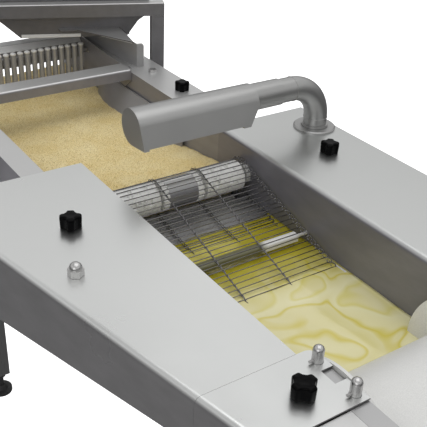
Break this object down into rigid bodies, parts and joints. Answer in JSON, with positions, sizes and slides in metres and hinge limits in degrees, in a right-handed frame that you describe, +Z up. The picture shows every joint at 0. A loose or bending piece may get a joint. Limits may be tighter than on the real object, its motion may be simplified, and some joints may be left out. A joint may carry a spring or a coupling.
{
  "type": "batter breading machine",
  "caption": "Free-standing batter and breading line with a wire belt climbing out of a batter tank over a white drum, an air knife, a crumb trough with a comb, and a swing-out hopper.",
  "frame": {"origin": "on the floor under the middle of the machine's outline", "axes": "+X towards the infeed end, along the line; -Y towards the operator; +Z up"},
  "size_m": [1.319, 0.6612, 1.036],
  "materials": {
    "frame_steel": "satin",
    "cover_steel": "bead blasted",
    "trough_steel": "satin",
    "air_steel": "bead blasted",
    "wire_steel": "bright wire",
    "white_plastic": "matte",
    "knob_plastic": "matte",
    "belt_blue": "matte",
    "motor_grey": "semi gloss",
    "hopper_steel": "dark satin",
    "button_green": "gloss",
    "button_red": "gloss",
    "foot_rubber": "matte",
    "batter": "wet liquid batter",
    "crumbs": "loose dry crumbs"
  },
  "bodies": {
    "near_cover_body": {"near_cover": "cover_steel", "cap_nut": "wire_steel"},
    "near_knob_body": {"near_cover_knob": "knob_plastic"},
    "end_cover_body": {"near_end_cover": "cover_steel", "guide_pins": "wire_steel"},
    "end_knob_body": {"end_cover_knob": "knob_plastic"},
    "far_cover_body": {"far_cover": "cover_steel", "air_foot_ring": "air_steel"},
    "far_knob_body": {"far_cover_knob": "knob_plastic"},
    "flange_knob_body": {"flange_knob": "knob_plastic"},
    "air_knife_body": {"air_pipe": "air_steel", "air_nozzle": "air_steel"},
    "drum_body": {"drum_shaft": "trough_steel", "drum_sleeves": "white_plastic"},
    "nose_body": {"nose_roller": "wire_steel"},
    "crumb_drive_body": {"crumb_drive_roller": "trough_steel"},
    "crumb_tail_body": {"crumb_tail_roller": "trough_steel"},
    "comb_body": {"comb": "wire_steel"},
    "hopper_body": {"hopper_arm": "hopper_steel", "crumb_hopper": "hopper_steel"},
    "gate_body": {"hopper_gate": "hopper_steel"},
    "valve_body": {"drain_valve": "wire_steel"},
    "start_body": {"start_button": "button_green"},
    "stop_body": {"stop_button": "button_red"},
    "emergency_body": {"emergency_stop": "button_red"},
    "belt_dial_body": {"belt_dial": "knob_plastic"},
    "crumb_dial_body": {"crumb_dial": "knob_plastic"},
    "blower_body": {"blower_wheel": "trough_steel"},
    "foot_1_body": {"levelling_foot_1": "foot_rubber"},
    "foot_2_body": {"levelling_foot_2": "foot_rubber"},
    "foot_3_body": {"levelling_foot_3": "foot_rubber"},
    "foot_4_body": {"levelling_foot_4": "foot_rubber"},
    "base": {"frame_legs": "frame_steel", "top_rails": "frame_steel", "batter_pool": "batter", "crumb_bed": "crumbs", "crumb_trough": "trough_steel", "deflectors": "trough_steel", "crumb_belt": "belt_blue", "slider_bed": "white_plastic", "crumb_gearmotor": "motor_grey", "far_housing": "trough_steel", "near_housing": "trough_steel", "batter_tank": "trough_steel", "drain_spigot": "wire_steel", "infeed_apron": "white_plastic", "belt_carrying_run": "wire_steel", "belt_return_run": "wire_steel", "belt_turns": "wire_steel", "belt_bearings": "white_plastic", "slide_bar": "white_plastic", "drum_gearmotor": "motor_grey", "blower_casing": "motor_grey", "blower_motor": "motor_grey", "front_crossbar": "trough_steel", "unit_frame": "trough_steel", "side_guards": "trough_steel", "hopper_post": "hopper_steel", "control_box": "cover_steel", "flange_bolt": "wire_steel"}
  },
  "joints": [
    {"name": "near_cover_lift", "type": "slide", "parent": "base", "child": "near_cover_body", "axis": [0, 0, 1], "range_m": [0, 0.15]},
    {"name": "near_knob_turn", "type": "hinge", "parent": "near_cover_body", "child": "near_knob_body", "pos_m": [0.17569, -0.1797, 0.909], "axis": [0, 0, 1], "range_deg": [-90, 0]},
    {"name": "end_cover_lift", "type": "slide", "parent": "base", "child": "end_cover_body", "axis": [0, 0, 1], "range_m": [0, 0.15]},
    {"name": "end_knob_turn", "type": "hinge", "parent": "end_cover_body", "child": "end_knob_body", "pos_m": [0.56459, -0.1225, 0.909], "axis": [0, 0, 1], "range_deg": [-90, 0]},
    {"name": "far_cover_lift", "type": "slide", "parent": "base", "child": "far_cover_body", "axis": [0, 0, 1], "range_m": [0, 0.15]},
    {"name": "far_knob_turn", "type": "hinge", "parent": "far_cover_body", "child": "far_knob_body", "pos_m": [0.16939, 0.2543, 0.909], "axis": [0, 0, 1], "range_deg": [-90, 0]},
    {"name": "flange_knob_turn", "type": "hinge", "parent": "base", "child": "flange_knob_body", "pos_m": [-0.16371, 0.1963, 0.9], "axis": [0, 0, 1], "range_deg": [-90, 0]},
    {"name": "air_knife_swing", "type": "hinge", "parent": "far_cover_body", "child": "air_knife_body", "pos_m": [0.08349, 0.2966, 0.92], "axis": [0, 0, 1], "range_deg": [-60, 30]},
    {"name": "drum_spin", "type": "hinge", "parent": "base", "child": "drum_body", "pos_m": [0.08349, 0.0344, 0.85], "axis": [0, 1, 0], "continuous": true},
    {"name": "nose_spin", "type": "hinge", "parent": "base", "child": "nose_body", "pos_m": [0.32249, 0.0344, 0.80051], "axis": [0, 1, 0], "continuous": true},
    {"name": "crumb_drive_spin", "type": "hinge", "parent": "base", "child": "crumb_drive_body", "pos_m": [-0.56551, 0.0344, 0.774], "axis": [0, 1, 0], "continuous": true},
    {"name": "crumb_tail_spin", "type": "hinge", "parent": "base", "child": "crumb_tail_body", "pos_m": [0.05949, 0.0344, 0.774], "axis": [0, 1, 0], "continuous": true},
    {"name": "comb_tilt", "type": "hinge", "parent": "base", "child": "comb_body", "pos_m": [-0.47451, 0.0344, 0.884], "axis": [0, 1, 0], "range_deg": [-18, 18]},
    {"name": "hopper_swing", "type": "hinge", "parent": "base", "child": "hopper_body", "pos_m": [-0.35551, 0.2564, 0.976], "axis": [0, 0, 1], "range_deg": [-90, 0]},
    {"name": "hopper_gate_slide", "type": "slide", "parent": "hopper_body", "child": "gate_body", "axis": [-0.9298, 0.3681, 0], "range_m": [0, 0.08]},
    {"name": "drain_valve_turn", "type": "hinge", "parent": "base", "child": "valve_body", "pos_m": [0.48949, 0.0864, 0.737], "axis": [0, 1, 0], "range_deg": [0, 90]},
    {"name": "start_press", "type": "slide", "parent": "base", "child": "start_body", "axis": [0, 1, 0], "range_m": [0, 0.0035], "stiffness_N_per_m": 600},
    {"name": "stop_press", "type": "slide", "parent": "base", "child": "stop_body", "axis": [0, 1, 0], "range_m": [0, 0.0035], "stiffness_N_per_m": 600},
    {"name": "emergency_press", "type": "slide", "parent": "base", "child": "emergency_body", "axis": [0, 1, 0], "range_m": [0, 0.0035], "stiffness_N_per_m": 800},
    {"name": "belt_dial_turn", "type": "hinge", "parent": "base", "child": "belt_dial_body", "pos_m": [-0.34551, -0.3106, 0.83], "axis": [0, 1, 0], "range_deg": [-135, 135]},
    {"name": "crumb_dial_turn", "type": "hinge", "parent": "base", "child": "crumb_dial_body", "pos_m": [-0.25551, -0.3106, 0.83], "axis": [0, 1, 0], "range_deg": [-135, 135]},
    {"name": "blower_spin", "type": "hinge", "parent": "base", "child": "blower_body", "pos_m": [0.08349, 0.2586, 0.77], "axis": [1, 0, 0], "continuous": true},
    {"name": "foot_1_screw", "type": "hinge", "parent": "base", "child": "foot_1_body", "pos_m": [-0.56051, -0.0736, 0.03], "axis": [0, 0, 1], "range_deg": [-180, 180]},
    {"name": "foot_2_screw", "type": "hinge", "parent": "base", "child": "foot_2_body", "pos_m": [-0.56051, 0.1424, 0.03], "axis": [0, 0, 1], "range_deg": [-180, 180]},
    {"name": "foot_3_screw", "type": "hinge", "parent": "base", "child": "foot_3_body", "pos_m": [0.57949, -0.0736, 0.03], "axis": [0, 0, 1], "range_deg": [-180, 180]},
    {"name": "foot_4_screw", "type": "hinge", "parent": "base", "child": "foot_4_body", "pos_m": [0.57949, 0.1424, 0.03], "axis": [0, 0, 1], "range_deg": [-180, 180]}
  ],
  "couplings": [
    {"joint": "nose_spin", "follows": "drum_spin", "ratio": 3.8154},
    {"joint": "crumb_tail_spin", "follows": "crumb_drive_spin", "ratio": 1}
  ]
}
